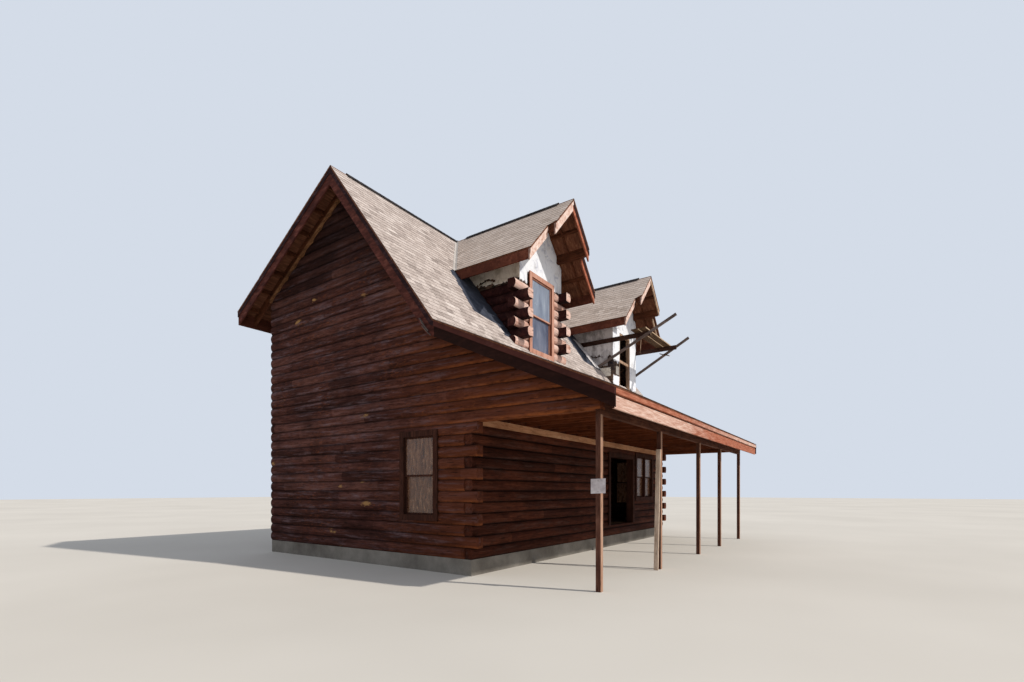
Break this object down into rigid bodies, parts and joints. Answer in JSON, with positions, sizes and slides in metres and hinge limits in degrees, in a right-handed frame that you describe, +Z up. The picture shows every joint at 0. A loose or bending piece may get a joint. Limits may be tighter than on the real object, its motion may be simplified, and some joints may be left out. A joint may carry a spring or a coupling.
{
  "type": "log cabin",
  "caption": "Log cabin under construction with a steep gabled roof, stepped gable dormers and a full-width post porch.",
  "frame": {"origin": "on the ground under the middle of the bounding box", "axes": "+X along the ridge, away from the gable the picture shows, +Y from the porch to the rear, +Z up"},
  "size_m": [12.07, 11.085, 9.08],
  "materials": {
    "concrete": "rough",
    "floor_wood": "matt",
    "logs": "satin stain",
    "shingles": "mineral granules, matt",
    "framing_wood": "matt",
    "raw_wood": "sawn",
    "stained_boards": "satin stain",
    "trim": "satin stain",
    "wrapped_sheathing": "creased sheet over boards",
    "glass": "clear"
  },
  "bodies": {
    "root": {"foundation": "concrete", "ground_floor": "floor_wood", "upper_floor": "floor_wood", "left_gable_logs": "logs", "right_gable_logs": "logs", "left_gable_siding": "logs", "right_gable_siding": "logs", "front_wall_left": "logs", "front_wall_right": "logs", "front_wall_over_door": "logs", "front_wall_under_door": "logs", "front_upper_wall": "logs", "rear_wall_lower": "logs", "rear_wall_upper": "logs", "main_roof_rear": "shingles", "main_roof_front": "shingles", "porch_roof": "shingles", "rear_rafters": "framing_wood", "front_rafters": "framing_wood", "porch_rafters": "framing_wood", "gable_lookouts": "framing_wood", "frieze_strips": "raw_wood", "left_rake_fascia": "stained_boards", "right_rake_fascia": "stained_boards", "rear_eave_fascia": "stained_boards", "porch_fascia": "stained_boards", "porch_posts": "stained_boards", "porch_beam": "stained_boards", "porch_ledger": "raw_wood", "porch_ceiling_joists": "framing_wood", "doorway_frame": "trim", "lower_window_frames": "trim", "upper_window_frames": "trim", "lower_window_glass": "glass", "upper_window_glass": "glass", "dormer_1_logs": "logs", "dormer_1_wrapped_walls": "wrapped_sheathing", "dormer_1_window_frame": "trim", "dormer_1_window_glass": "glass", "dormer_2_wrapped_walls": "wrapped_sheathing", "dormer_2_window_framing": "raw_wood", "dormer_roofs": "shingles", "dormer_rake_boards": "stained_boards", "dormer_eave_fascia": "stained_boards", "dormer_purlins": "framing_wood", "scaffold_beams": "raw_wood", "scaffold_braces": "raw_wood", "scaffold_planks": "raw_wood", "leaning_board": "raw_wood"}
  },
  "joints": []
}
